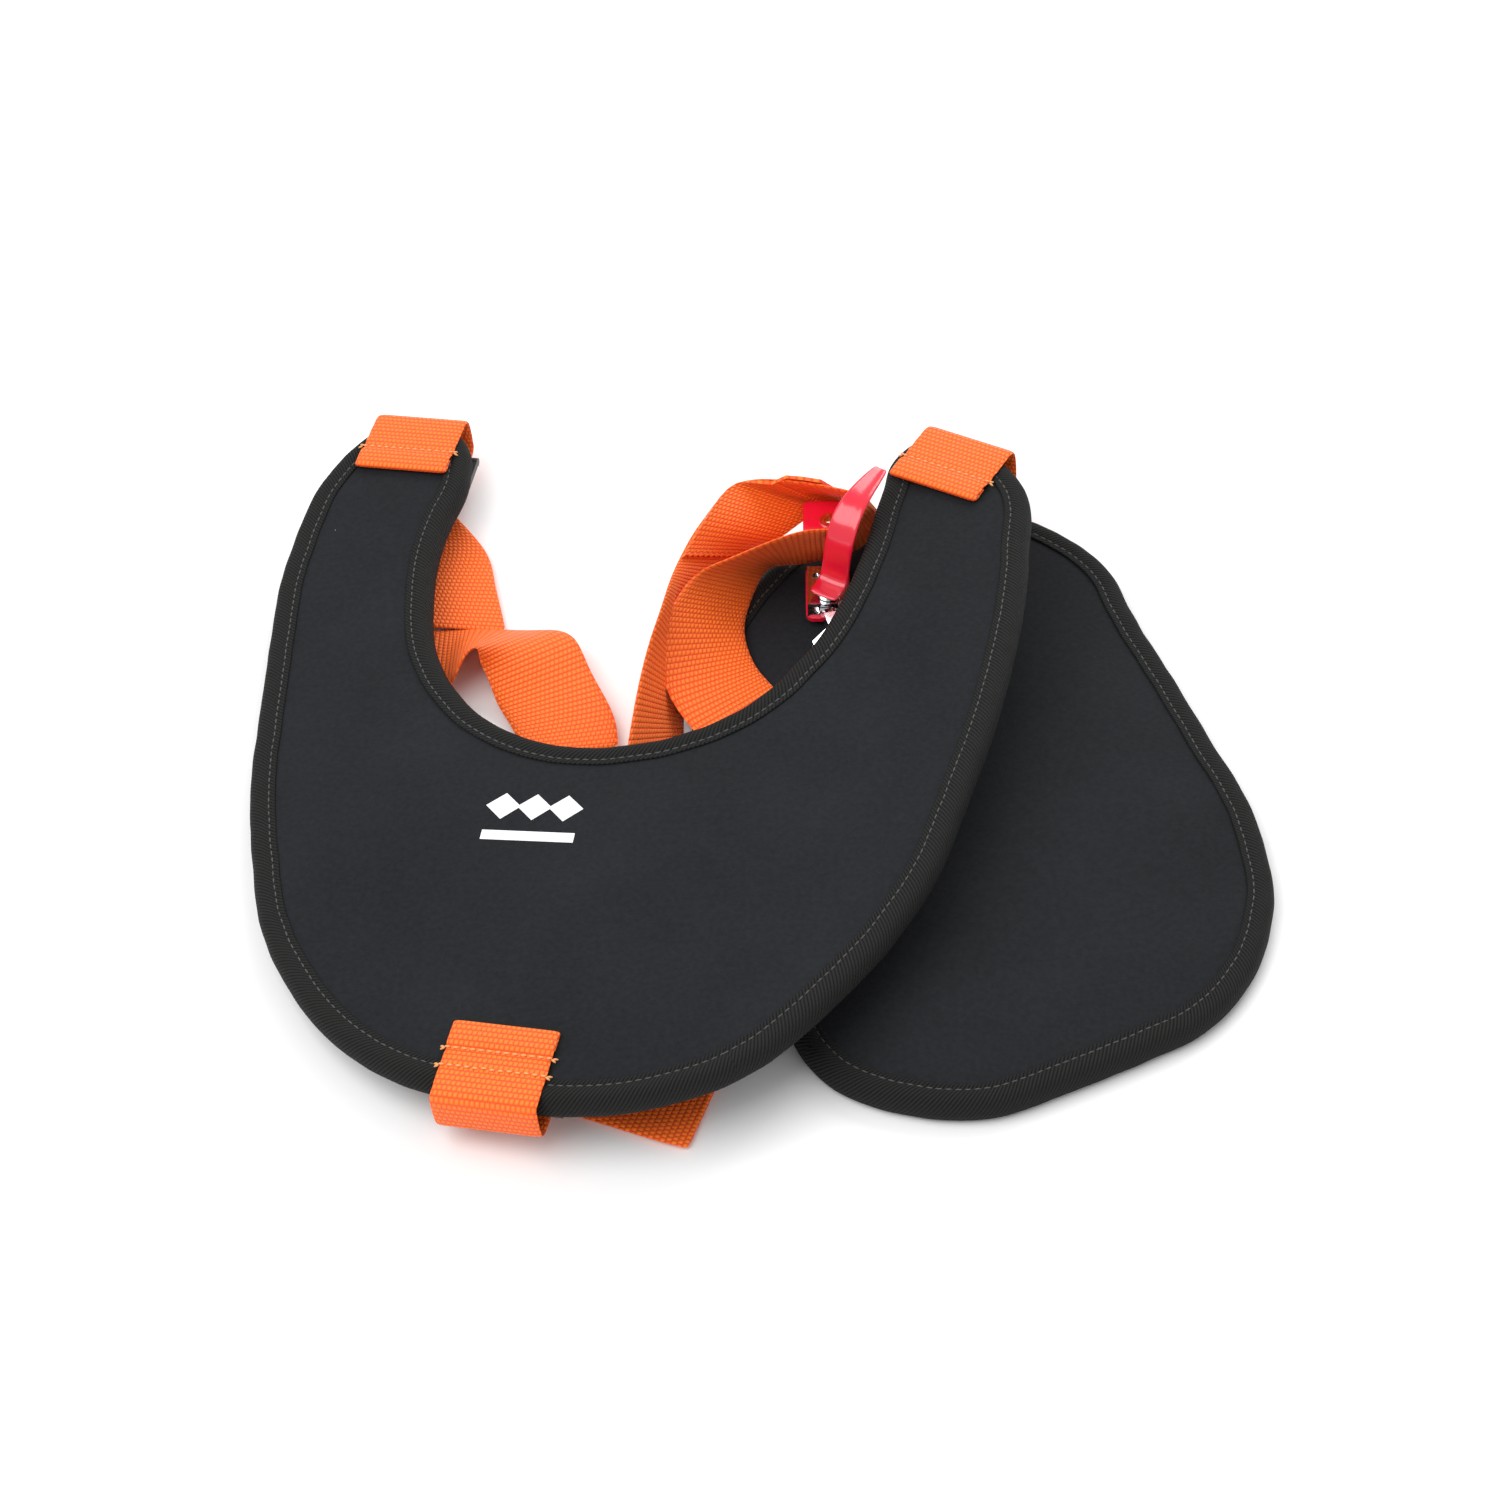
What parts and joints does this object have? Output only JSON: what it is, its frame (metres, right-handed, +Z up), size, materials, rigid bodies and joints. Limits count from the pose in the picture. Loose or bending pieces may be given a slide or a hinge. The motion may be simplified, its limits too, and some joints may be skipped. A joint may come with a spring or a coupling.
{
  "type": "brush cutter shoulder harness",
  "caption": "Padded shoulder yoke and hip pad with webbing straps, ladder-lock buckles and a quick-release swivel hook, lying folded.",
  "frame": {"origin": "centre of the bounding box on the surface it lies on", "axes": "+Z up, +Y towards the horns of the shoulder yoke, +X towards the hip pad"},
  "size_m": [0.3725, 0.3596, 0.0559],
  "materials": {
    "orange_webbing": "woven polypropylene",
    "foam": "closed-cell foam",
    "lining": "knit",
    "pad_face": "knit, fine grain",
    "binding": "twill tape",
    "board": "plain sheet",
    "black_plastic": "moulded, semi-gloss",
    "red_vinyl": "glossy",
    "chrome": "plated",
    "gate_steel": "satin"
  },
  "bodies": {
    "harness": {"yoke_back_lining": "lining", "yoke_foam_core": "foam", "yoke_face_fabric": "pad_face", "yoke_edge_binding": "binding", "hip_back_lining": "lining", "hip_stiffener_board": "board", "hip_foam_core": "foam", "hip_face_fabric": "pad_face", "hip_edge_binding": "binding", "webbing_loop_left": "orange_webbing", "webbing_loop_right": "orange_webbing", "webbing_loop_back": "orange_webbing", "strap_tail": "orange_webbing", "strap_hook_loop": "orange_webbing", "release_fork": "chrome", "release_tongue": "red_vinyl", "release_flap": "red_vinyl", "release_eyelet": "chrome", "release_rivets": "chrome"},
    "left_strap": {"ladder_lock_left": "black_plastic", "strap_left": "orange_webbing", "ladder_lock_front": "black_plastic", "strap_front": "orange_webbing"},
    "right_strap": {"ladder_lock_right": "black_plastic", "strap_right": "orange_webbing"},
    "back_strap": {"ladder_lock_back": "black_plastic", "strap_back": "orange_webbing"},
    "release_pull": {"release_pin": "chrome", "pull_tab": "red_vinyl"},
    "swivel_eye": {"swivel_eye": "chrome"},
    "hook": {"hook_body": "chrome", "gate_pin": "gate_steel", "gate_spring": "gate_steel"},
    "gate": {"hook_gate": "gate_steel"}
  },
  "joints": [
    {"name": "left_buckle_tilt", "type": "hinge", "parent": "harness", "child": "left_strap", "pos_m": [-0.13409, 0.16481, 0.00842], "axis": [-0.9677, 0.2284, -0.1065], "range_deg": [0, 2]},
    {"name": "right_buckle_tilt", "type": "hinge", "parent": "harness", "child": "right_strap", "pos_m": [0.08063, 0.12674, 0.03204], "axis": [-0.852, 0.515, -0.0937], "range_deg": [0, 5]},
    {"name": "back_buckle_tilt", "type": "hinge", "parent": "harness", "child": "back_strap", "pos_m": [-0.08774, -0.1649, 0.01352], "axis": [0.9685, -0.225, 0.1065], "range_deg": [0, 6]},
    {"name": "release_slide", "type": "slide", "parent": "harness", "child": "release_pull", "axis": [0, 0, 1], "range_m": [0, 0.012]},
    {"name": "hook_swing", "type": "hinge", "parent": "harness", "child": "swivel_eye", "pos_m": [0.0278, 0.0728, 0.0185], "axis": [0, 0, 1], "range_deg": [-8, 3]},
    {"name": "hook_swivel", "type": "hinge", "parent": "swivel_eye", "child": "hook", "pos_m": [0.0308, 0.06118, 0.0185], "axis": [0.2504, -0.9681, 0], "range_deg": [-15, 15]},
    {"name": "gate_hinge", "type": "hinge", "parent": "hook", "child": "gate", "pos_m": [0.02511, 0.04525, 0.0185], "axis": [0, 0, 1], "range_deg": [0, 32], "stiffness_Nm_per_rad": 0.05, "springref_deg": -17.19}
  ]
}
